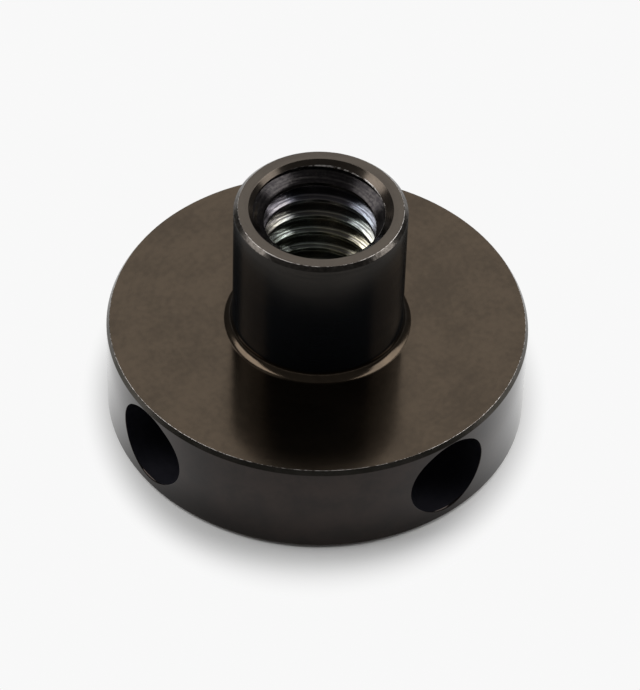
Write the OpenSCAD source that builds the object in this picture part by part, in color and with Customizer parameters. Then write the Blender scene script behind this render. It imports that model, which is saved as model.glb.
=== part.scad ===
// Tension rod nut: one turned piece, a round flange with a threaded boss standing on it.
// A bar pushed into a hole in the flange's rim turns the nut along its rod.
// All sizes are in millimetres. The flange's flat face lies on z = 0, the boss points up
// the Z axis, and the first bar hole opens along +X.

/* [Flange] */
// Diameter of the flange
flange_d = 30.16; // [28:0.02:40]
// Thickness of the flange, from its flat face up to the shoulder
flange_t = 7.75; // [7.3:0.05:12]
// Width of the 45 degree chamfers on the rim's two edges
rim_chamfer = 0.27; // [0.1:0.01:0.3]

/* [Boss] */
// Outer diameter of the boss
boss_d = 12.2; // [11.2:0.1:16]
// Height of the boss above the shoulder
boss_h = 10.76; // [6:0.02:20]
// Width of the 45 degree chamfer on the boss's outer top edge
boss_chamfer = 0.28; // [0.1:0.01:0.5]
// Radius of the fillet in the corner between the shoulder and the boss
root_fillet_r = 0.68; // [0.2:0.01:2]

/* [Threaded bore] */
// Outside diameter of the rod's thread (3/8 inch)
thread_d = 9.525; // [8:0.005:10]
// Distance from one turn of the thread to the next (16 turns to the inch)
thread_pitch = 1.5875; // [1:0.0005:2]
// Height of the nut's thread, in percent of a full sharp profile
thread_engagement = 83; // [55:1:85]
// How far the countersink at each end opens past the thread, on the radius
mouth_margin = 0.3; // [0.1:0.01:0.4]
// Included angle of the countersinks
mouth_angle = 90; // [60:1:120]

/* [Bar holes] */
// Number of holes for the bar, evenly spaced round the rim
bar_hole_count = 4; // [2:1:6]
// Diameter of a bar hole
bar_hole_d = 6.35; // [4:0.01:6.5]
// Depth of a bar hole's straight wall, measured from the rim
bar_hole_depth = 7; // [3:0.1:8]
// Distance from the shoulder down to a bar hole's axis
bar_hole_drop = 3.66; // [3.5:0.01:4.2]
// Included angle of the drill's point, which shapes the end of a bar hole
drill_point_angle = 118; // [90:1:140]
// Width of the light countersink that breaks a bar hole's edge
bar_hole_break = 0.12; // [0.02:0.01:0.3]

/* [Hidden] */

$fn = 96;

// How far a cutting tool runs on past the metal, so that it cuts clean through
overrun = 1;
// Height of a sharp 60 degree thread's profile on the diameter, for a pitch of 1
sharp_thread_height = 1.299;

flange_r = flange_d / 2;
boss_r = boss_d / 2;
nut_h = flange_t + boss_h;
bore_r = (thread_d - sharp_thread_height * thread_pitch * thread_engagement / 100) / 2;
mouth_r = thread_d / 2 + mouth_margin;
mouth_slope = tan(mouth_angle / 2);
bar_hole_r = bar_hole_d / 2;
bar_hole_z = flange_t - bar_hole_drop;

// A disc's half section: its corners at the bottom and top are cut at 45 degrees
module chamfered_half_section(r, h, bottom_cut, top_cut) {
    polygon([
        [0, 0],
        [r - bottom_cut, 0],
        [r, bottom_cut],
        [r, h - top_cut],
        [r - top_cut, h],
        [0, h],
    ]);
}

// What a fillet of radius r leaves in the corner between two straight edges
module fillet_corner(r) {
    difference() {
        square(r);
        translate([r, r]) circle(r);
    }
}

// The turned outside: flange, boss and the fillet between them
module turned_blank() {
    rotate_extrude() {
        chamfered_half_section(flange_r, flange_t, rim_chamfer, rim_chamfer);
        chamfered_half_section(boss_r, nut_h, 0, boss_chamfer);
        translate([boss_r, flange_t]) fillet_corner(root_fillet_r);
    }
}

// What the drill and the countersinks take out along the axis, at the thread's inner diameter
module threaded_bore() {
    mouth_depth = (mouth_r - bore_r) / mouth_slope;
    outer_r = mouth_r + overrun * mouth_slope;
    rotate_extrude()
        polygon([
            [0, -overrun],
            [outer_r, -overrun],
            [bore_r, mouth_depth],
            [bore_r, nut_h - mouth_depth],
            [outer_r, nut_h + overrun],
            [0, nut_h + overrun],
        ]);
}

// What a drill and a light countersink take out of the rim, along +Z from the nut's axis.
// The countersink's cone is bar_hole_break wide where the rim stands furthest out, at the hole's
// top and bottom, and it runs out towards the hole's sides, where the round rim falls away.
module bar_hole() {
    wall_end = flange_r - bar_hole_depth;
    point_h = bar_hole_r / tan(drill_point_angle / 2);
    rotate_extrude()
        polygon([
            [0, wall_end - point_h],
            [bar_hole_r, wall_end],
            [bar_hole_r, flange_r - bar_hole_break],
            [bar_hole_r + bar_hole_break + overrun, flange_r + overrun],
            [0, flange_r + overrun],
        ]);
}

// The whole nut. Its fine thread isn't cut here: the bore's wall is where its crests lie.
module nut() {
    color([0.24, 0.21, 0.18])
        difference() {
            turned_blank();
            threaded_bore();
            for (i = [0 : bar_hole_count - 1])
                translate([0, 0, bar_hole_z])
                    rotate([0, 90, i * 360 / bar_hole_count])
                        bar_hole();
        }
}

nut();
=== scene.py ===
"""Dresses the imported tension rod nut: its turned outside, tapped bore and blind bar holes.

The nut is one closed mesh of surfaces worked out with numpy in the CAD model's own frame. Its flat
face lies on z = 0, the boss points up the Z axis and the first bar hole opens along +X. Sizes are
in millimetres until a mesh is written, which puts them into metres.
"""

import logging
import math
from dataclasses import dataclass
from enum import IntEnum

import bpy
import numpy as np
from mathutils import Matrix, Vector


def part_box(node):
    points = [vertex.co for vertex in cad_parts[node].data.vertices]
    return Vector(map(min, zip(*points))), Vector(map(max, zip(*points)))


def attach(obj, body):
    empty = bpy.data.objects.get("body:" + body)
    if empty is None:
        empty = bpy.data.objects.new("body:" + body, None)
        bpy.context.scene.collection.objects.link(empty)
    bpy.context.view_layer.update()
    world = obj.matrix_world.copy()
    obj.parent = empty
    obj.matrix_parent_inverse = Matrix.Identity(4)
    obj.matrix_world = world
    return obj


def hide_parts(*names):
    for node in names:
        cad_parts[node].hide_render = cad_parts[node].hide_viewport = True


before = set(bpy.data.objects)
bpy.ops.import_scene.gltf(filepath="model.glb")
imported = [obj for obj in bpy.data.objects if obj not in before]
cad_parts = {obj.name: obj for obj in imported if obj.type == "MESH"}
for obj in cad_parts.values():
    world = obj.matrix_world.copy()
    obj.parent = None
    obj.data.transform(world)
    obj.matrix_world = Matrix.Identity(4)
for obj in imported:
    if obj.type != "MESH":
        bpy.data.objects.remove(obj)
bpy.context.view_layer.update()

MM = 0.001
FULL_TURN = 2 * math.pi
QUARTER = 0.25
UPRIGHT_DEG = 90.0
HALF_TURN_DEG = 180.0
WELD_GRID_MM = 1e-5
TINY = 1e-6
MIDDLE_OF_NOISE = 0.5

Colour = tuple[float, float, float]
Span = tuple[float, float]

log = logging.getLogger("nut_scene")


class Finish(IntEnum):
    """The finishes on the nut. The value is the place of its material in the mesh's list."""

    SHOULDER = 0
    RIM = 1
    CHAMFER = 2
    BOSS = 3
    END_FACE = 4
    EDGE = 5
    SINK = 6
    THREAD = 7
    DRILLED = 8
    BEVEL = 9


# --- Surfaces ---


def stacked(*parts: np.ndarray | float) -> np.ndarray:
    """Puts numbers that belong together, such as x, y and z, side by side in a last axis."""
    return np.stack(np.broadcast_arrays(*parts), axis=-1)


@dataclass
class Patch:
    """A grid of surface points, with the true normal at each of them.

    The arrays have the shape rows x columns x 3. Neighbouring patches repeat the points of the
    edge that they share, and welding joins them there. The finish is one for the whole patch,
    or an array that fits its cells.
    """

    points: np.ndarray
    normals: np.ndarray
    finish: Finish | np.ndarray

    def cell_finishes(self) -> np.ndarray:
        """The finish of each cell, in the order of quads."""
        rows, columns = self.points.shape[:2]
        return np.broadcast_to(self.finish, (rows - 1, columns - 1)).reshape(-1)

    def quads(self) -> np.ndarray:
        """Corner numbers of the grid's cells, wound so that they face along the normals.

        A cell's own normal is the cross product of its diagonals. Where the cells face against
        the given normals, summed over the patch, the winding is turned round.

        Returns:
            An array of cells x 4, counted row by row through the grid.
        """
        rows, columns = self.points.shape[:2]
        number = np.arange(rows * columns).reshape(rows, columns)
        round_cell = number[:-1, :-1], number[:-1, 1:], number[1:, 1:], number[1:, :-1]
        cells = stacked(*round_cell).reshape(-1, 4)
        flat_points = self.points.reshape(-1, 3)
        flat_normals = self.normals.reshape(-1, 3)
        corner = flat_points[cells]
        facing = np.cross(corner[:, 2] - corner[:, 0], corner[:, 3] - corner[:, 1])
        agreement = np.sum(facing * flat_normals[cells].sum(axis=1))
        return cells if agreement > 0 else cells[:, ::-1]


class ClosedMesh:
    """Welds patches into one closed mesh that keeps their exact normals."""

    def __init__(self, patches: list[Patch]) -> None:
        """Takes the patches and works out the welded corners and faces.

        Points that agree to the weld grid become one corner. A cell loses each corner that
        coincides with the one before it, and is left out when fewer than three are left.

        Args:
            patches: The surfaces, which together have no open edge.
        """
        points = np.concatenate([patch.points.reshape(-1, 3) for patch in patches])
        normals = np.concatenate([patch.normals.reshape(-1, 3) for patch in patches])
        finishes = np.concatenate([patch.cell_finishes() for patch in patches])
        starts = np.cumsum([0] + [patch.points[..., 0].size for patch in patches])
        cells = np.concatenate([patch.quads() + start for patch, start in zip(patches, starts)])
        snapped = np.rint(points / WELD_GRID_MM).astype(np.int64)
        _, first, welded = np.unique(snapped, axis=0, return_index=True, return_inverse=True)
        welded = welded.reshape(-1)
        corners = welded[cells]
        kept = corners != np.roll(corners, 1, axis=1)
        count = kept.sum(axis=1)
        folded = (corners[:, 0] == corners[:, 2]) | (corners[:, 1] == corners[:, 3])
        self.vertices = points[first]
        self.groups = []
        for size in (4, 3):
            chosen = (count == size) & ~folded
            faces = cells[chosen][kept[chosen]].reshape(-1, size)
            self.groups.append((welded[faces], normals[faces], finishes[chosen]))

    def open_edges(self) -> int:
        """Counts edges that aren't run through once each way by two faces.

        Returns:
            The number of such edges, which is 0 on a closed mesh.
        """
        ends = [
            stacked(faces, np.roll(faces, -1, axis=1)).reshape(-1, 2) for faces, _, _ in self.groups
        ]
        start, end = np.concatenate(ends).T
        forward = start * len(self.vertices) + end
        backward = end * len(self.vertices) + start
        repeated = len(forward) - len(np.unique(forward))
        return repeated + int(np.sum(~np.isin(forward, backward)))

    def to_object(self, name: str, materials: list[bpy.types.Material]) -> bpy.types.Object:
        """Writes the mesh, in metres, to an object that sits at the origin.

        Args:
            name: The object's name.
            materials: The material for each finish, in the order of its value.

        Returns:
            The object, linked to the scene.
        """
        mesh = bpy.data.meshes.new(name)
        faces = [face for group in self.groups for face in group[0].tolist()]
        mesh.from_pydata((self.vertices * MM).tolist(), [], faces)
        finishes = np.concatenate([group[2] for group in self.groups]).astype(np.int32)
        mesh.polygons.foreach_set("material_index", finishes)
        mesh.polygons.foreach_set("use_smooth", np.ones(len(faces), dtype=bool))
        for material in materials:
            mesh.materials.append(material)
        mesh.update()
        normals = np.concatenate([group[1].reshape(-1, 3) for group in self.groups])
        mesh.normals_split_custom_set(normals.tolist())
        return add_object(name, mesh)


def add_object(name: str, data: bpy.types.ID) -> bpy.types.Object:
    """Makes an object and links it to the scene.

    Args:
        name: The object's name.
        data: Its mesh, lamp or camera.

    Returns:
        The object.
    """
    added = bpy.data.objects.new(name, data)
    bpy.context.scene.collection.objects.link(added)
    return added


@dataclass(frozen=True)
class Corner:
    """A corner of a turned profile: its radius, its height and the radius that rounds it.

    The finish is that of the edge that starts here. The rounding has the finish EDGE where it
    is worn, and otherwise that of the edge that ends here. It takes the given number of steps,
    or the profile's usual number where that is 0.
    """

    r: float
    z: float
    rounding: float = 0.0
    finish: Finish = Finish.SHOULDER
    worn: bool = False
    steps: int = 0


@dataclass
class Profile:
    """A profile's stations (r, z), their normals (r, z) and the finish of each step."""

    stations: np.ndarray
    normals: np.ndarray
    finishes: np.ndarray


def rounded_profile(corners: list[Corner], longest: float, arc_steps: int) -> Profile:
    """Runs along a profile of straight edges with rounded corners.

    A rounding of radius q touches both edges of a corner that turns by an angle a at the
    distance q * tan(a / 2) from it. Along the rounding the normal turns evenly from the first
    edge's to the second edge's, and the point keeps the distance q from the rounding's centre.
    The metal's outside lies to the right of the way the profile runs.

    Args:
        corners: The profile's corners, in order.
        longest: The longest step along a straight edge, in mm.
        arc_steps: The usual number of steps round a corner.

    Returns:
        The profile.
    """
    spot = np.array([[corner.r, corner.z] for corner in corners])
    edge = np.diff(spot, axis=0)
    length = np.hypot(edge[:, 0], edge[:, 1])
    along = edge / length[:, None]
    right = stacked(along[:, 1], -along[:, 0])
    turn = np.zeros(len(corners))
    crossing = along[:-1, 0] * along[1:, 1] - along[:-1, 1] * along[1:, 0]
    turn[1:-1] = np.arctan2(crossing, np.sum(along[:-1] * along[1:], axis=1))
    reach = np.array([corner.rounding for corner in corners]) * np.tan(np.abs(turn) / 2)
    stations, normals, finishes = [], [], []
    for i, heading in enumerate(along):
        run = length[i] - reach[i] - reach[i + 1]
        steps = max(1, math.ceil(run / longest))
        offset = reach[i] + run * np.linspace(0, 1, steps + 1)
        stations.append(spot[i] + offset[:, None] * heading)
        normals.append(np.broadcast_to(right[i], (steps + 1, 2)))
        finishes += [corners[i].finish] * steps
        if i + 1 == len(along):
            break
        corner = corners[i + 1]
        joining = Finish.EDGE if corner.worn else corners[i].finish
        arc = corner.steps or arc_steps
        finishes += [joining] * (arc if corner.rounding else 1)
        if not corner.rounding:
            continue
        side = math.copysign(corner.rounding, turn[i + 1])
        centre = stations[-1][-1] - side * right[i]
        swing = turn[i + 1] * np.linspace(0, 1, arc + 1)[1:-1, None]
        arc_normals = np.cos(swing) * right[i] + np.sin(swing) * heading
        stations.append(centre + side * arc_normals)
        normals.append(arc_normals)
    return Profile(np.concatenate(stations), np.concatenate(normals), np.array(finishes))


def turned_patch(profile: Profile, angles: np.ndarray) -> Patch:
    """Turns a profile round the Z axis: the station (r, z) goes to (r cos a, r sin a, z).

    Args:
        profile: The profile, in mm.
        angles: The angles a round the axis.

    Returns:
        The turned surface, a row for each station and a column for each angle.
    """

    def spun(pairs: np.ndarray) -> np.ndarray:
        """Turns pairs (r, z) into x, y and z."""
        r, z = pairs[:, 0:1], pairs[:, 1:2]
        return stacked(r * np.cos(angles), r * np.sin(angles), z)

    return Patch(spun(profile.stations), spun(profile.normals), profile.finishes[:, None])


# --- The nut ---


@dataclass
class TappedBore:
    """The tapped bore with a countersink at each end. Sizes are in mm."""

    bore_h: float
    thread_d: float = 9.525
    pitch: float = 1.5875
    engagement: float = 0.83
    mouth_margin: float = 0.3
    sharp_height: float = 1.299
    flank_angle_deg: float = 30.0
    root_flat_share: float = 3 / 16
    root_z: float = 0.225
    clean_sink_depth: float = 0.6
    crest_rounding: float = 0.07
    root_rounding: float = 0.05
    lip_rounding: float = 0.10
    lip_fade: float = 0.25
    worn_lip: float = 0.34
    longest_step: float = 0.12
    arc_steps: int = 3

    @property
    def major_r(self) -> float:
        """Radius at the thread's roots."""
        return self.thread_d / 2

    @property
    def crest_r(self) -> float:
        """Radius at the thread's crests, where the drill left the bore's wall."""
        return (self.thread_d - self.sharp_height * self.pitch * self.engagement) / 2

    @property
    def mouth_r(self) -> float:
        """Radius of a countersink at the nut's face. Its sides stand at 45 degrees."""
        return self.major_r + self.mouth_margin

    def one_pitch(self) -> Profile:
        """Runs down one pitch of the thread's profile, from the middle of a root.

        The flanks stand at 30 degrees to the profile's depth, a root's flat takes its share of
        the pitch, and the crest keeps what is left.

        Returns:
            The profile.
        """
        half_root = self.pitch * self.root_flat_share / 2
        flank = (self.major_r - self.crest_r) * math.tan(math.radians(self.flank_angle_deg))
        corners = [
            Corner(self.major_r, 0),
            Corner(self.major_r, -half_root, self.root_rounding),
            Corner(self.crest_r, -half_root - flank, self.crest_rounding),
            Corner(self.crest_r, half_root + flank - self.pitch, self.crest_rounding),
            Corner(self.major_r, half_root - self.pitch, self.root_rounding),
            Corner(self.major_r, -self.pitch),
        ]
        return rounded_profile(corners, self.longest_step, self.arc_steps)

    def patch(self, angles: np.ndarray) -> Patch:
        """Carries the thread's profile up a right-hand helix and cuts it with the countersinks.

        A root's middle stands at root_z and every pitch above it at the angle 0, and at the
        angle a every station stands pitch * a / (2 pi) higher. Heights are held between the two
        places where a countersink is as wide as the thread's roots. The radius is the larger of
        the thread's t and the countersinks' s, with the lip between them rounded over the width
        q: (s + t + sqrt((s - t)^2 + q^2)) / 2. The lip is sharp again at the two places. The
        normal of a helical surface leans round the axis by -pitch / (2 pi r) times its Z part.

        Args:
            angles: The angles round the axis, over one full turn.

        Returns:
            The bore's surface between the two places. It is worn where the countersinks break
            off into the thread's groove, and has the thread's finish below that.
        """
        low, high = self.mouth_margin, self.bore_h - self.mouth_margin
        share = angles / FULL_TURN
        top = math.ceil((high - self.root_z) / self.pitch - share[0])
        bottom = math.floor((low - self.root_z) / self.pitch - share[-1])
        profile = self.one_pitch()
        roots = np.repeat(np.arange(top, bottom, -1), len(profile.stations) - 1)
        stations = np.tile(profile.stations[:-1], (top - bottom, 1))
        leaning = np.tile(profile.normals[:-1], (top - bottom, 1))
        thread_z = self.root_z + self.pitch * roots + stations[:, 1]
        z = np.clip(thread_z[:, None] + self.pitch * share[None, :], low, high)
        upper = z > self.bore_h / 2
        thread_r = stations[:, 0:1]
        sink_r = self.mouth_r - np.minimum(z, self.bore_h - z)
        gap = sink_r - thread_r
        from_end = np.minimum(z - low, high - z)
        lip = self.lip_rounding * np.clip(from_end / self.lip_fade, TINY, 1)
        bend = np.hypot(gap, lip)
        r = (sink_r + thread_r + bend) / 2
        sunk = (1 + gap / bend) / 2
        thread_slope = -leaning[:, 1:2] / leaning[:, 0:1] * (1 - sunk)
        upward = thread_slope + sunk * np.where(upper, 1.0, -1.0)
        around = -self.pitch / (FULL_TURN * r) * thread_slope
        cosine, sine = np.cos(angles), np.sin(angles)
        points = stacked(r * cosine, r * sine, z)
        normals = stacked(-cosine - around * sine, around * cosine - sine, upward)
        normals /= np.linalg.norm(normals, axis=-1, keepdims=True)
        in_sink, gap = (gap >= 0)[:-1, :-1], gap[:-1, :-1]
        shallow = from_end[:-1, :-1] < self.clean_sink_depth - self.mouth_margin
        finish = np.where(in_sink & shallow, Finish.SINK, Finish.THREAD)
        turned_away = leaning[:-1, 1:2] * np.where(upper, 1, -1)[:-1, :-1] < 0
        finish[turned_away & (np.abs(gap) < self.worn_lip)] = Finish.EDGE
        return Patch(points, normals, finish)


@dataclass
class BarHole:
    """One blind hole for the tightening bar, drilled into the rim. Sizes are in mm.

    Every surface has a column for each point of the outline of a window in the rim wall, at the
    bearing of that point round the hole's axis, counted from the top. The rim wall's heights,
    rim_z, run from low to high.
    """

    axis_angle: float
    axis_z: float
    rim_r: float
    rim_z: np.ndarray
    hole_r: float = 3.175
    wall_depth: float = 7.0
    point_angle_deg: float = 118.0
    edge_break: float = 0.12
    least_break: float = 0.035
    break_power: float = 1.4
    break_rounds: int = 12
    sector_deg: float = 14.0
    sector_steps: int = 20
    ring_rows: int = 7
    ring_crowding: float = 1.5
    break_rows: int = 6
    wall_rows: int = 7
    point_rows: int = 5

    def __post_init__(self) -> None:
        """Works out the columns and, at each, the broken edge's width and the wall's brink."""
        self.half_sector = math.radians(self.sector_deg)
        self.across = np.linspace(-self.half_sector, self.half_sector, self.sector_steps + 1)
        self.outline = self.window_outline()
        angle, z = self.outline.T
        bearing = np.arctan2(self.rim_r * np.sin(angle), z - self.axis_z)
        self.sine, self.cosine = np.sin(bearing), np.cos(bearing)
        self.width = self.break_width()
        self.outer = self.hole_r + self.width
        self.brink = np.sqrt(self.rim_r**2 - (self.outer * self.sine) ** 2) - self.width

    def window_outline(self) -> np.ndarray:
        """Goes once round the window in the rim wall that holds this hole's mouth.

        Returns:
            Pairs of an angle from the hole's axis and a height, from the upper left corner
            round by the right, with the first pair repeated at the end.
        """
        sides = [
            stacked(self.across[:-1], self.rim_z[-1]),
            stacked(self.half_sector, self.rim_z[:0:-1]),
            stacked(self.across[:0:-1], self.rim_z[0]),
            stacked(-self.half_sector, self.rim_z),
        ]
        return np.concatenate(sides)

    def break_width(self) -> np.ndarray:
        """Width of the countersink that breaks the hole's edge.

        The cone is edge_break wide where the rim stands furthest out. Elsewhere the rim has
        fallen away by R - sqrt(R^2 - rho^2 sin^2), and the width shrinks by as much, down to the
        least that the deburring leaves. The width counts in rho, so it is found in rounds.

        Returns:
            The width in each column.
        """
        width = np.full_like(self.sine, self.edge_break)
        for _ in range(self.break_rounds):
            outer = self.hole_r + width
            fallen = self.rim_r - np.sqrt(self.rim_r**2 - (outer * self.sine) ** 2)
            width = np.maximum(self.least_break, self.edge_break - fallen)
        return width

    def placed(self, out: np.ndarray, side: np.ndarray, up: np.ndarray | float) -> np.ndarray:
        """Turns distances out along the axis, sideways and up into x, y and z."""
        cosine, sine = math.cos(self.axis_angle), math.sin(self.axis_angle)
        return stacked(out * cosine - side * sine, out * sine + side * cosine, up)

    def patches(self) -> list[Patch]:
        """The rim wall's window, the broken edge, the wall and the drill's point."""
        return [self.window(), self.broken_edge(), self.wall(), self.drill_point()]

    def window(self) -> Patch:
        """Fills the rim wall between the hole's mouth and the window's outline.

        Angle and height go evenly from the mouth's outline to the window's, closer together
        near the mouth, and every point lies on the rim's cylinder.

        Returns:
            The surface.
        """
        mouth_angle = np.arcsin(self.outer * self.sine / self.rim_r)
        mouth = stacked(mouth_angle, self.axis_z + self.outer * self.cosine)
        share = np.linspace(0, 1, self.ring_rows + 1)[:, None, None] ** self.ring_crowding
        between = (1 - share) * mouth + share * self.outline
        angle, z = between[..., 0], between[..., 1]
        cosine, sine = np.cos(angle), np.sin(angle)
        points = self.placed(self.rim_r * cosine, self.rim_r * sine, z)
        return Patch(points, self.placed(cosine, sine, 0.0), Finish.RIM)

    def broken_edge(self) -> Patch:
        """Rounds the hole's mouth from the rim to the wall.

        The section is a quarter of a superellipse, between a straight 45 degree chamfer and a
        full round: with the power p, in + out measured in widths satisfy in^p + out^p = 1. So
        the normal is in^(p - 1) towards the hole's axis plus out^(p - 1) out from the rim.

        Returns:
            The surface.
        """
        lean = np.linspace(0, math.pi / 2, self.break_rows + 1)[:, None]
        inward = np.sin(lean) ** (2 / self.break_power)
        outward = np.cos(lean) ** (2 / self.break_power)
        rho = self.hole_r + self.width * (1 - inward)
        out = self.brink + self.width * outward
        points = self.placed(out, rho * self.sine, self.axis_z + rho * self.cosine)
        from_rim = outward ** (self.break_power - 1) / self.rim_r
        to_axis = inward ** (self.break_power - 1)
        side = (from_rim * rho - to_axis) * self.sine
        normals = self.placed(from_rim * out, side, -to_axis * self.cosine)
        normals /= np.linalg.norm(normals, axis=-1, keepdims=True)
        return Patch(points, normals, Finish.RIM)

    def drilled(self, out: np.ndarray, rho: np.ndarray | float, lean: float) -> Patch:
        """Makes a surface that is round about the hole's axis.

        Args:
            out: Distances out along the axis.
            rho: Distances from the axis.
            lean: The angle by which the normals lean out of the hole.

        Returns:
            The surface.
        """
        points = self.placed(out, rho * self.sine, self.axis_z + rho * self.cosine)
        inward = math.cos(lean)
        normals = self.placed(math.sin(lean), -inward * self.sine, -inward * self.cosine)
        return Patch(points, np.broadcast_to(normals, points.shape), Finish.DRILLED)

    def wall(self) -> Patch:
        """Makes the straight wall, a cylinder from the broken edge to the drill's shoulder."""
        share = np.linspace(0, 1, self.wall_rows + 1)[:, None]
        out = (1 - share) * self.brink + share * (self.rim_r - self.wall_depth)
        return self.drilled(out, self.hole_r, 0.0)

    def drill_point(self) -> Patch:
        """Closes the hole with the cone that a drill's point leaves."""
        half = math.radians(self.point_angle_deg / 2)
        rho = self.hole_r * np.linspace(1, 0, self.point_rows + 1)[:, None]
        out = self.rim_r - self.wall_depth - (self.hole_r - rho) / math.tan(half)
        return self.drilled(out, rho, half)


@dataclass
class TensionRodNut:
    """The whole nut, turned from one piece of steel. Sizes are in mm."""

    flange_r: float
    nut_h: float
    flange_t: float = 7.75
    rim_chamfer: float = 0.27
    shoulder_break_in: float = 0.20
    shoulder_break_down: float = 0.345
    boss_r: float = 6.1
    boss_chamfer: float = 0.28
    root_fillet_r: float = 0.68
    bar_hole_drop: float = 3.66
    bar_hole_count: int = 4
    edge_rounding: float = 0.055
    fine_rounding: float = 0.035
    base_rounding: float = 0.08
    longest_step: float = 1.5
    arc_steps: int = 4
    fillet_steps: int = 14
    between_steps: int = 26
    rim_rows: int = 18
    name: str = "turned_nut"

    def __post_init__(self) -> None:
        """Makes the bore and the bar holes, and sets out the rim wall that lies round these."""
        self.bore = TappedBore(bore_h=self.nut_h)
        low, high = self.lower_corners()[-1].z, self.upper_corners()[0].z
        self.rim_z = np.linspace(low, high, self.rim_rows + 1)
        turns = np.arange(self.bar_hole_count) / self.bar_hole_count
        self.hole_angles = FULL_TURN * turns
        axis_z = self.flange_t - self.bar_hole_drop
        self.bar_holes = [
            BarHole(angle, axis_z, self.flange_r, self.rim_z) for angle in self.hole_angles
        ]
        half = self.bar_holes[0].half_sector
        to_next = FULL_TURN / self.bar_hole_count - half
        self.between = np.linspace(half, to_next, self.between_steps + 1)

    def angles(self) -> np.ndarray:
        """Angles of the columns round the nut: even steps in each bar hole's sector, and wider
        even steps between the sectors.

        Returns:
            The angles over one full turn, both ends included.
        """
        period = np.concatenate([self.bar_holes[0].across[:-1], self.between[:-1]])
        once_round = (self.hole_angles[:, None] + period).reshape(-1)
        return np.append(once_round, once_round[0] + FULL_TURN)

    def lower_corners(self) -> list[Corner]:
        """The corners from the lower countersink's foot out along the flat face to the rim."""
        bore, rounding = self.bore, self.base_rounding
        return [
            Corner(bore.major_r, bore.mouth_margin, finish=Finish.SINK),
            Corner(bore.mouth_r, 0, self.edge_rounding, Finish.END_FACE, worn=True),
            Corner(self.flange_r - self.rim_chamfer, 0, rounding, worn=True),
            Corner(self.flange_r, self.rim_chamfer, rounding, Finish.RIM),
            Corner(self.flange_r, self.rim_chamfer + rounding),
        ]

    def upper_corners(self) -> list[Corner]:
        """The corners from the rim in over the shoulder and up the boss to the countersink."""
        bore, edge = self.bore, self.edge_rounding
        top_of_wall = self.flange_t - self.shoulder_break_down
        rim_edge_r = self.flange_r - self.shoulder_break_in
        fillet, steps = self.root_fillet_r, self.fillet_steps
        return [
            Corner(self.flange_r, top_of_wall - edge, finish=Finish.RIM),
            Corner(self.flange_r, top_of_wall, edge, Finish.CHAMFER),
            Corner(rim_edge_r, self.flange_t, self.fine_rounding, Finish.SHOULDER, worn=True),
            Corner(self.boss_r, self.flange_t, fillet, Finish.BOSS, steps=steps),
            Corner(self.boss_r, self.nut_h - self.boss_chamfer, edge, Finish.BEVEL),
            Corner(self.boss_r - self.boss_chamfer, self.nut_h, edge, Finish.END_FACE, worn=True),
            Corner(bore.mouth_r, self.nut_h, edge, Finish.SINK),
            Corner(bore.major_r, self.nut_h - bore.mouth_margin),
        ]

    def patches(self) -> list[Patch]:
        """Makes all of the nut's surfaces.

        Returns:
            The surfaces, which together have no open edge.
        """
        angles = self.angles()
        surfaces = [self.bore.patch(angles)]
        for corners in (self.lower_corners(), self.upper_corners()):
            profile = rounded_profile(corners, self.longest_step, self.arc_steps)
            surfaces.append(turned_patch(profile, angles))
        stations = stacked(self.flange_r, self.rim_z)
        outward = np.broadcast_to([1.0, 0.0], stations.shape)
        rim_wall = Profile(stations, outward, np.full(self.rim_rows, Finish.RIM))
        for hole in self.bar_holes:
            surfaces.append(turned_patch(rim_wall, self.between + hole.axis_angle))
            surfaces += hole.patches()
        return surfaces

    def build(self, materials: list[bpy.types.Material]) -> bpy.types.Object:
        """Builds the nut's mesh, dresses it and puts it in the place of its CAD node.

        Args:
            materials: The material for each finish, in the order of its value.

        Returns:
            The finished piece.
        """
        mesh = ClosedMesh(self.patches())
        piece = mesh.to_object(self.name, materials)
        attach(piece, "root")
        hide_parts("nut")
        triangles = sum((group[0].shape[1] - 2) * len(group[0]) for group in mesh.groups)
        log.info("%s: %d triangles, %d open edges", self.name, triangles, mesh.open_edges())
        return piece


# --- Materials ---


class Octaves(IntEnum):
    """How many layers a noise has, each twice as fine as the one before."""

    ONE = 1
    SOFT = 2
    FULL = 3
    STREAKY = 5


class Signal:
    """A node's output that takes part in plain sums, each of which adds a Math node."""

    def __init__(self, graph: "Graph", socket: bpy.types.NodeSocket) -> None:
        """Keeps the output and the graph that it belongs to."""
        self.graph = graph
        self.socket = socket

    def maths(self, operation: str, *others: "Signal | float") -> "Signal":
        """Adds a Math node on this signal and up to two others."""
        return self.graph.add("Math", {"operation": operation}, (self, *others))

    def __add__(self, other: "Signal | float") -> "Signal":
        """This plus other."""
        return self.maths("ADD", other)

    def __sub__(self, other: "Signal | float") -> "Signal":
        """This minus other."""
        return self.maths("SUBTRACT", other)

    def __rsub__(self, other: float) -> "Signal":
        """A number minus this."""
        return self.graph.add("Math", {"operation": "SUBTRACT"}, (other, self))

    def __mul__(self, other: "Signal | float") -> "Signal":
        """This times other."""
        return self.maths("MULTIPLY", other)

    def __truediv__(self, other: "Signal | float") -> "Signal":
        """This divided by other."""
        return self.maths("DIVIDE", other)

    __radd__ = __add__
    __rmul__ = __mul__

    def ramp_between(self, start: float, end: float) -> "Signal":
        """Goes smoothly from 0 at start to 1 at end."""
        settings = {"interpolation_type": "SMOOTHSTEP"}
        return self.graph.add("MapRange", settings, (self, start, end, 0.0, 1.0))

    def towards(self, other: "Signal", share: float) -> "Signal":
        """Goes the given share of the way from this to other."""
        return self * (1 - share) + other * share

    def spread_about(self, middle: float, spread: float) -> "Signal":
        """Turns a noise about 0.5 into one about the middle, widened by the spread."""
        return (self - MIDDLE_OF_NOISE) * spread + middle


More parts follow.
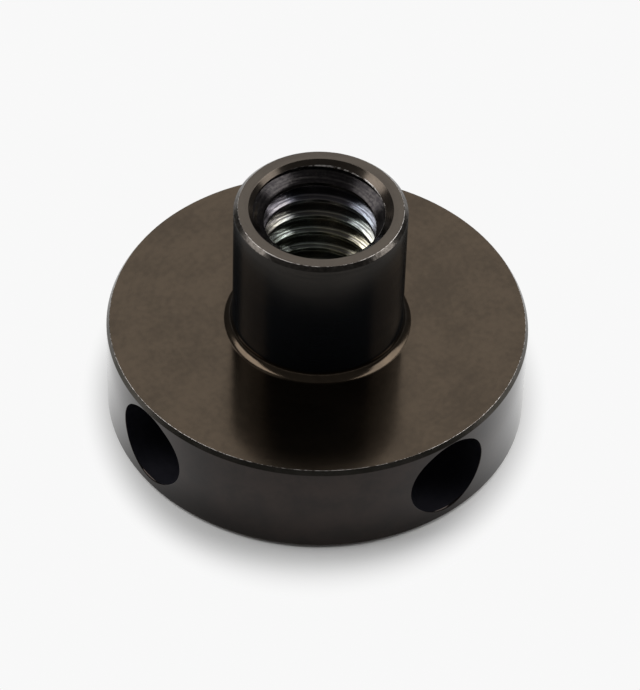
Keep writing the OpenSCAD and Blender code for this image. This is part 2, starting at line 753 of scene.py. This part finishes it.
class Graph:
    """Adds nodes to one node tree."""

    def __init__(self, tree: bpy.types.NodeTree) -> None:
        """Clears the tree."""
        tree.nodes.clear()
        self.tree = tree

    def add(
        self,
        kind: str,
        settings: dict[str, object] | None = None,
        inputs: tuple | dict[str, object] = (),
        output: int | str = 0,
    ) -> Signal:
        """Adds a node, sets its settings first and then fills its inputs.

        Args:
            kind: The node's type, without the ShaderNode that begins them all.
            settings: Values of the node's own properties.
            inputs: Values or signals, in the order of the inputs or by their names.
            output: The output to hand back, by its place or its name.

        Returns:
            The chosen output.
        """
        node = self.tree.nodes.new(f"ShaderNode{kind}")
        for key, value in (settings or {}).items():
            setattr(node, key, value)
        pairs = inputs.items() if isinstance(inputs, dict) else enumerate(inputs)
        for key, value in pairs:
            if isinstance(value, Signal):
                self.tree.links.new(value.socket, node.inputs[key])
            else:
                node.inputs[key].default_value = value
        return Signal(self, node.outputs[output])

    def end(self, surface: Signal, kind: str = "OutputMaterial") -> None:
        """Adds the tree's output node."""
        node = self.tree.nodes.new(f"ShaderNode{kind}")
        self.tree.links.new(surface.socket, node.inputs["Surface"])

    def principled(self, inputs: dict[str, object]) -> Signal:
        """Adds the shader of the nut's steel and of the floor."""
        return self.add("BsdfPrincipled", {}, inputs)

    def bump(self, height: Signal, relief_mm: float) -> Signal:
        """The normal of a surface with the given relief where the height goes from 0 to 1."""
        values = {"Strength": 1.0, "Distance": relief_mm * MM, "Height": height}
        return self.add("Bump", {}, values)

    def position_mm(self) -> Signal:
        """The point on the piece in millimetres, from its Object coordinates."""
        values = {"Vector": self.add("TexCoord", output="Object"), "Scale": 1 / MM}
        return self.add("VectorMath", {"operation": "SCALE"}, values)

    def noise(self, place: Signal, octaves: Octaves, scale: float = 1.0) -> Signal:
        """Noise from 0 to 1 that varies about scale times over each 1 of place."""
        values = {"Vector": place, "Scale": scale, "Detail": float(octaves)}
        return self.add("TexNoise", {}, values)

    def split(self, place: Signal) -> tuple[Signal, Signal, Signal]:
        """The three numbers of a vector."""
        node = self.add("SeparateXYZ", {}, (place,)).socket.node
        return tuple(Signal(self, output) for output in node.outputs)

    def joined(self, x: Signal, y: Signal, z: Signal) -> Signal:
        """A vector of three numbers."""
        return self.add("CombineXYZ", {}, (x, y, z))

    def mixed(
        self,
        share: Signal | float,
        low: Signal | Colour,
        high: Signal | Colour,
        blend: str = "MIX",
    ) -> Signal:
        """Goes from the colour low to the colour high as share goes from 0 to 1.

        Args:
            share: How far to go.
            low: The colour at 0.
            high: The colour at 1, or what the blend puts over low.
            blend: The blend of the two colours.

        Returns:
            The mixed colour.
        """
        low, high = (c if isinstance(c, Signal) else (*c, 1.0) for c in (low, high))
        settings = {"data_type": "RGBA", "blend_type": blend}
        return self.add("Mix", settings, {0: share, 6: low, 7: high}, output=2)

    def arcs(self, place: Signal, per_mm: float, per_turn: float) -> Signal:
        """Noise in short arcs round the Z axis, as a turning tool leaves them.

        Args:
            place: The point in millimetres.
            per_mm: How often the noise varies in a millimetre of the radius.
            per_turn: How often it varies round the axis, roughly, in a radian.

        Returns:
            The noise, from 0 to 1.
        """
        x, y, _ = self.split(place)
        radius = (x * x + y * y).maths("SQRT")
        round_x, round_y = x / radius * per_turn, y / radius * per_turn
        return self.noise(self.joined(radius * per_mm, round_x, round_y), Octaves.SOFT)


def new_material(name: str) -> tuple[bpy.types.Material, Graph]:
    """Makes an empty material.

    Args:
        name: The material's name.

    Returns:
        The material, and the graph of its nodes.
    """
    material = bpy.data.materials.new(name)
    material.use_nodes = True
    return material, Graph(material.node_tree)


@dataclass(frozen=True)
class BlackOxide:
    """Brown-black oxide on turned steel, half bright, under an oil film that may be there.

    The shares of the arcs and the flecks are what they take of the oxide's variation. Soft
    clouds take the rest.
    """

    name: str
    lean_colour: Colour
    rich_colour: Colour
    oil: float = 0.0
    roughness: float = 0.16
    roughness_spread: float = 0.05
    metallic: float = 0.975
    colour_span: Span = (0.36, 0.64)
    arc_share: float = 0.22
    fleck_share: float = 0.22
    cloud_per_mm: float = 0.35
    arc_per_mm: float = 2.2
    arc_per_turn: float = 3.0
    fleck_per_mm: float = 2.6
    ripple_mm: float = 0.0006

    def material(self) -> bpy.types.Material:
        """Makes the oxide: soft clouds, flecks and faint turned arcs in its colour and gloss,
        and a slight ripple.

        Returns:
            The material.
        """
        material, graph = new_material(self.name)
        place = graph.position_mm()
        clouds = graph.noise(place, Octaves.FULL, self.cloud_per_mm)
        arcs = graph.arcs(place, self.arc_per_mm, self.arc_per_turn)
        flecks = graph.noise(place, Octaves.SOFT, self.fleck_per_mm)
        share = clouds * (1 - self.arc_share - self.fleck_share)
        share = share + arcs * self.arc_share + flecks * self.fleck_share
        blend = share.ramp_between(*self.colour_span)
        shader = graph.principled(
            {
                "Base Color": graph.mixed(blend, self.lean_colour, self.rich_colour),
                "Metallic": self.metallic,
                "Roughness": share.spread_about(self.roughness, self.roughness_spread),
                "Normal": graph.bump(flecks, self.ripple_mm),
                "Coat Weight": self.oil,
                "Coat Roughness": self.roughness,
            }
        )
        graph.end(self.with_painted_shade(graph, place, shader))
        return material

    def with_painted_shade(self, graph: Graph, place: Signal, shader: Signal) -> Signal:
        """Hands back the oxide as it is, with no painted shade mixed in."""
        return shader


@dataclass(frozen=True)
class ShadeDarkenedOxide(BlackOxide):
    """Oxide darkened with painted shade: matt black mixed in, more of it low on the wall."""

    painted_shade_colour: Colour = (0.0055, 0.007, 0.009)
    shine_low: float = 0.36
    shine_high: float = 0.47
    change_span_mm: Span = (12.0, 17.2)
    ring_per_mm: float = 5.0
    ring_drift_per_mm: float = 0.3
    ring_share: float = 0.35

    def with_painted_shade(self, graph: Graph, place: Signal, shader: Signal) -> Signal:
        """Mixes the oxide with matt black as painted shade. The oxide's share rises with the
        height, and varies a little from one turned ring to the next.

        Args:
            graph: The material's graph.
            place: The point in millimetres.
            shader: The plain oxide.

        Returns:
            The mixed finish.
        """
        x, y, z = graph.split(place)
        drift = self.ring_drift_per_mm
        rings = graph.joined(x * drift, y * drift, z * self.ring_per_mm)
        rise = z.ramp_between(*self.change_span_mm) * (self.shine_high - self.shine_low)
        share = graph.noise(rings, Octaves.FULL).spread_about(self.shine_low, self.ring_share)
        # Matt black diffuse mixed in as painted shade, darkening the boss wall most low down.
        painted_shade = graph.add("BsdfDiffuse", {}, {"Color": (*self.painted_shade_colour, 1.0)})
        return graph.add("MixShader", {}, (share + rise, painted_shade, shader))


@dataclass(frozen=True)
class WornEdge:
    """An edge where handling has rubbed the oxide through to bare, scratched steel in specks."""

    name: str = "worn_edge"
    oxide_colour: Colour = (0.11, 0.095, 0.085)
    bare_colour: Colour = (0.50, 0.47, 0.45)
    oxide_roughness: float = 0.25
    bare_roughness: float = 0.45
    metallic: float = 1.0
    speck_per_mm: float = 3.5
    patch_per_mm: float = 0.30
    patch_share: float = 0.4
    bare_span: Span = (0.44, 0.58)

    def material(self) -> bpy.types.Material:
        """Makes the edge: specks of bare steel, closer together in patches.

        Returns:
            The material.
        """
        material, graph = new_material(self.name)
        place = graph.position_mm()
        specks = graph.noise(place, Octaves.FULL, self.speck_per_mm)
        patches = graph.noise(place, Octaves.SOFT, self.patch_per_mm)
        bare = specks.towards(patches, self.patch_share).ramp_between(*self.bare_span)
        colour = graph.mixed(bare, self.oxide_colour, self.bare_colour)
        gloss = self.oxide_roughness + bare * (self.bare_roughness - self.oxide_roughness)
        values = {"Base Color": colour, "Metallic": self.metallic, "Roughness": gloss}
        graph.end(graph.principled(values))
        return material


@dataclass(frozen=True)
class TappedSteel:
    """Steel that a tap has cut: bright, with fine streaks along the thread and heat tints.

    It mirrors sharply along the streaks and spreads what it mirrors across them. The spans in
    mm are depths: below the mouth for the upper colours' change to the lower ones, and below
    the nearer end for the lead-in's.
    """

    pitch: float
    mouth_z: float
    name: str = "tapped_steel"
    upper_dark: Colour = (0.06, 0.056, 0.076)
    upper_bright: Colour = (0.20, 0.19, 0.25)
    lower_dark: Colour = (0.17, 0.16, 0.13)
    lower_bright: Colour = (0.70, 0.67, 0.62)
    lower_span_mm: Span = (2.0, 6.5)
    lead_in_dark: Colour = (0.012, 0.010, 0.011)
    lead_in_bright: Colour = (0.038, 0.034, 0.033)
    lead_in_span_mm: Span = (1.75, 2.05)
    lead_in_roughness: float = 0.04
    grain_per_mm: float = 4.5
    grain_streaks: float = 0.6
    grain_span: Span = (0.42, 0.62)
    green_tint: Colour = (0.86, 1.0, 0.97)
    yellow_tint: Colour = (1.0, 0.98, 0.82)
    tint_per_mm: float = 0.22
    streak_count: float = 3.2
    drift_per_mm: float = 0.8
    blotch_per_mm: float = 1.1
    blotch_share: float = 0.2
    bright_span: Span = (0.42, 0.58)
    score_count: float = 4.6
    score_depth: float = 0.5
    score_span: Span = (0.50, 0.56)
    metallic: float = 0.80
    roughness: float = 0.20
    roughness_spread: float = 0.16
    anisotropy: float = 0.7
    scratch_mm: float = 0.014

    def material(self) -> bpy.types.Material:
        """Makes the steel. Its streaks follow the thread: they read the phase of the helix,
        2 pi z / pitch less the angle round the axis, by its cosine and sine. They fade and
        change slowly along the thread. The first flank under each countersink is dark and
        rough with grains.

        Returns:
            The material.
        """
        material, graph = new_material(self.name)
        place = graph.position_mm()
        x, y, z = graph.split(place)
        phase = z * (FULL_TURN / self.pitch) - y.maths("ARCTAN2", x)
        round_x, round_y = phase.maths("COSINE"), phase.maths("SINE")
        drift = (x + y) * self.drift_per_mm
        streaks, scores = (
            graph.noise(graph.joined(round_x * count, round_y * count, drift), Octaves.STREAKY)
            for count in (self.streak_count, self.score_count)
        )
        depth = self.mouth_z - z
        clean = depth.maths("MINIMUM", z).ramp_between(*self.lead_in_span_mm)
        grains = graph.noise(place, Octaves.FULL, self.grain_per_mm)
        grainy = grains.towards(streaks, self.grain_streaks).ramp_between(*self.grain_span)
        lead_in = graph.mixed(grainy, self.lead_in_dark, self.lead_in_bright)
        bright = self.bright_colour(graph, place, depth, streaks)
        scored = scores.ramp_between(*self.score_span) * self.score_depth
        cut = graph.mixed(scored, bright, self.upper_dark)
        gloss = streaks.spread_about(self.roughness, self.roughness_spread)
        shader = graph.principled(
            {
                "Base Color": graph.mixed(clean, lead_in, cut),
                "Metallic": self.metallic,
                "Roughness": gloss + (1 - clean) * self.lead_in_roughness,
                "Normal": graph.bump(streaks, self.scratch_mm),
                "Anisotropic": self.anisotropy,
                "Anisotropic Rotation": QUARTER,
            }
        )
        graph.end(shader)
        return material

    def bright_colour(
        self, graph: Graph, place: Signal, depth: Signal, streaks: Signal
    ) -> Signal:
        """Works out the streaky colour of the cut steel, brighter further down, with its tints.

        Args:
            graph: The material's graph.
            place: The point in millimetres.
            depth: The depth below the mouth, in mm.
            streaks: The noise of the streaks.

        Returns:
            The colour.
        """
        blotches = graph.noise(place, Octaves.FULL, self.blotch_per_mm)
        share = streaks.towards(blotches, self.blotch_share).ramp_between(*self.bright_span)
        upper = graph.mixed(share, self.upper_dark, self.upper_bright)
        lower = graph.mixed(share, self.lower_dark, self.lower_bright)
        wander = graph.noise(place, Octaves.ONE, self.tint_per_mm)
        yellow = wander.ramp_between(*self.bright_span)
        tint = graph.mixed(yellow, self.green_tint, self.yellow_tint)
        plain = graph.mixed(depth.ramp_between(*self.lower_span_mm), upper, lower)
        return graph.mixed(1.0, plain, tint, blend="MULTIPLY")


# --- The studio ---


@dataclass(frozen=True)
class SoftBox:
    """A flat lamp that faces the nut, given as the nut sees it.

    The bearing runs from the level direction away from the camera, to the right. The half
    sizes are shares of the lamp's distance.
    """

    name: str
    bearing_deg: float
    height_deg: float
    half_width: float
    half_length: float
    roll_deg: float
    radiance: float


@dataclass
class Studio:
    """The floor, the lamps, the world and the camera. Sizes not named as mm are in metres."""

    azimuth_deg: float = -39.65
    elevation_deg: float = 45.434
    roll_deg: float = -1.9145
    distance: float = 0.280190
    aim_height: float = 0.0077559
    slide_right: float = 0.00023928
    slide_up: float = -0.00194994
    lens_mm: float = 204.56
    lamp_distance: float = 0.7
    floor_half: float = 3.0
    floor_colour: Colour = (0.93, 0.93, 0.925)
    floor_roughness: float = 0.9
    floor_white: float = 0.94
    shadow_start_mm: float = 14.8
    shadow_end_mm: float = 18.5
    shadow_side: float = 1.08
    shadow_depth: float = 0.93
    world_grey: float = 0.13
    boxes: tuple[SoftBox, ...] = (
        SoftBox("left_box", -82.0, 46.0, 0.30, 0.39, -20.0, 3.6),
        SoftBox("right_box", 71.0, 49.0, 0.54, 0.26, -41.0, 3.6),
        SoftBox("back_card", 0.0, 45.5, 0.22, 0.20, 0.0, 1.33),
    )

    def floor(self) -> None:
        """Lays the pale floor.

        It shows its own shading near the nut, in an oval that is narrower towards the two lamps
        at the sides. Beyond that, what is seen of it is plain white.
        """
        half = self.floor_half
        mesh = bpy.data.meshes.new("floor")
        spots = [(-half, -half, 0), (half, -half, 0), (half, half, 0), (-half, half, 0)]
        mesh.from_pydata(spots, [], [(0, 1, 2, 3)])
        material, graph = new_material("pale_floor")
        values = {"Base Color": (*self.floor_colour, 1.0), "Roughness": self.floor_roughness}
        shaded = graph.principled(values)
        white = graph.add("Emission", {}, {"Strength": self.floor_white})
        x, y, _ = graph.split(graph.position_mm())
        turn = math.radians(self.azimuth_deg)
        side = (x * math.cos(turn) + y * math.sin(turn)) * self.shadow_side
        depth = (y * math.cos(turn) - x * math.sin(turn)) * self.shadow_depth
        distance = (side * side + depth * depth).maths("SQRT")
        far = distance.ramp_between(self.shadow_start_mm, self.shadow_end_mm)
        camera, glossy, transmitted = (
            graph.add("LightPath", output=f"Is {kind} Ray")
            for kind in ("Camera", "Glossy", "Transmission")
        )
        seen = camera.maths("MAXIMUM", glossy).maths("MAXIMUM", transmitted)
        graph.end(graph.add("MixShader", {}, (seen * far, shaded, white)))
        mesh.materials.append(material)
        floor = add_object("floor", mesh)

    def stance(
        self, turn_deg: float, tilt_deg: float, shift: tuple[float, float, float], roll_deg: float
    ) -> Matrix:
        """The place of a lamp or the camera, which looks along its own -Z.

        Args:
            turn_deg: The turn about the upright axis.
            tilt_deg: The tilt about its own X axis, from looking straight down.
            shift: The move along its own axes, after the turn and the tilt.
            roll_deg: The roll about its own Z axis.

        Returns:
            The matrix of its place.
        """
        turn, tilt, roll = (
            Matrix.Rotation(math.radians(angle), 4, axis)
            for angle, axis in ((turn_deg, "Z"), (tilt_deg, "X"), (roll_deg, "Z"))
        )
        return turn @ tilt @ Matrix.Translation(shift) @ roll

    def hang(self, box: SoftBox) -> None:
        """Hangs one lamp. A flat lamp's power is pi times its radiance times its area.

        Args:
            box: The lamp's place and radiance.
        """
        light = bpy.data.lights.new(box.name, "AREA")
        light.shape = "RECTANGLE"
        light.size = 2 * box.half_width * self.lamp_distance
        light.size_y = 2 * box.half_length * self.lamp_distance
        light.energy = math.pi * box.radiance * light.size * light.size_y
        turn, tilt = self.azimuth_deg - box.bearing_deg, box.height_deg - UPRIGHT_DEG
        shift = (0, 0, self.lamp_distance)
        lamp = add_object(box.name, light)
        lamp.matrix_world = self.stance(turn, tilt, shift, HALF_TURN_DEG - box.roll_deg)

    def world(self) -> None:
        """Fills the room with an even grey."""
        world = bpy.data.worlds.new("room")
        world.use_nodes = True
        graph = Graph(world.node_tree)
        grey = (self.world_grey, self.world_grey, self.world_grey, 1.0)
        glow = graph.add("Background", {}, {"Color": grey})
        graph.end(glow, "OutputWorld")
        bpy.context.scene.world = world

    def camera(self) -> None:
        """Sets up the camera, which looks down at the nut from azimuth_deg and elevation_deg."""
        data = bpy.data.cameras.new("camera")
        data.lens = self.lens_mm
        shift = (self.slide_right, self.slide_up, self.distance)
        tilt = UPRIGHT_DEG - self.elevation_deg
        camera = add_object("camera", data)
        camera.matrix_world = Matrix.Translation((0, 0, self.aim_height)) @ self.stance(
            self.azimuth_deg, tilt, shift, -self.roll_deg
        )
        bpy.context.scene.camera = camera

    def build(self) -> None:
        """Sets up the whole studio."""
        self.floor()
        for box in self.boxes:
            self.hang(box)
        self.world()
        self.camera()
        bpy.context.scene.view_settings.view_transform = "Standard"
        log.info("studio: floor, %d lamps, world and camera", len(self.boxes))


def nut_materials(nut: TensionRodNut) -> list[bpy.types.Material]:
    """Makes the material for each finish.

    Args:
        nut: The nut, whose thread gives the tapped steel's streaks their pitch.

    Returns:
        The materials, in the order of the finishes' values.
    """
    finishes = {
        Finish.SHOULDER: BlackOxide(
            "oxide_on_shoulder", (0.0515, 0.0395, 0.0285), (0.070, 0.053, 0.0375),
            arc_share=0.16, fleck_share=0.34, fleck_per_mm=2.2, cloud_per_mm=0.30, ripple_mm=0.0010,
        ),
        # The rim's colours are kept far darker than the shoulder's as painted shade: they stand in
        # for the shadowed floor that the rim wall mirrors.
        Finish.RIM: BlackOxide(
            "oxide_and_painted_shade_on_rim", (0.0095, 0.0064, 0.005), (0.0175, 0.0115, 0.009),
            oil=0.26, roughness=0.08, cloud_per_mm=0.5,
        ),
        Finish.CHAMFER: BlackOxide(
            "oxide_on_chamfer", (0.05, 0.046, 0.038), (0.09, 0.082, 0.072),
        ),
        # The boss wall carries painted shade: matt black mixed in, more of it lower down.
        Finish.BOSS: ShadeDarkenedOxide(
            "oxide_and_painted_shade_on_boss", (0.047, 0.042, 0.036), (0.058, 0.051, 0.044), roughness=0.22,
        ),
        Finish.END_FACE: BlackOxide(
            "oxide_on_end_face", (0.064, 0.054, 0.045), (0.074, 0.063, 0.052),
            arc_share=0.6, arc_per_turn=1.2,
        ),
        Finish.EDGE: WornEdge(),
        Finish.SINK: BlackOxide(
            "oxide_in_countersinks", (0.055, 0.046, 0.037), (0.085, 0.069, 0.056),
            roughness=0.2, fleck_per_mm=5.0,
        ),
        Finish.THREAD: TappedSteel(pitch=nut.bore.pitch, mouth_z=nut.nut_h),
        Finish.DRILLED: BlackOxide(
            "oxide_in_bar_holes", (0.032, 0.032, 0.042), (0.044, 0.043, 0.055),
            roughness=0.35, metallic=0.7,
        ),
        Finish.BEVEL: BlackOxide(
            "oxide_on_bevel", (0.042, 0.037, 0.032), (0.105, 0.094, 0.084),
            fleck_share=0.5, roughness=0.18, fleck_per_mm=4.0, ripple_mm=0.004,
        ),
    }
    return [finishes[kind].material() for kind in Finish]


def main() -> None:
    """Builds the studio and the nut, in that order."""
    logging.basicConfig(level=logging.INFO, format="%(name)s: %(message)s")
    Studio().build()
    low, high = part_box("nut")
    nut = TensionRodNut(flange_r=(high[0] - low[0]) / 2 / MM, nut_h=(high[2] - low[2]) / MM)
    nut.build(nut_materials(nut))


if __name__ == "__main__":
    main()
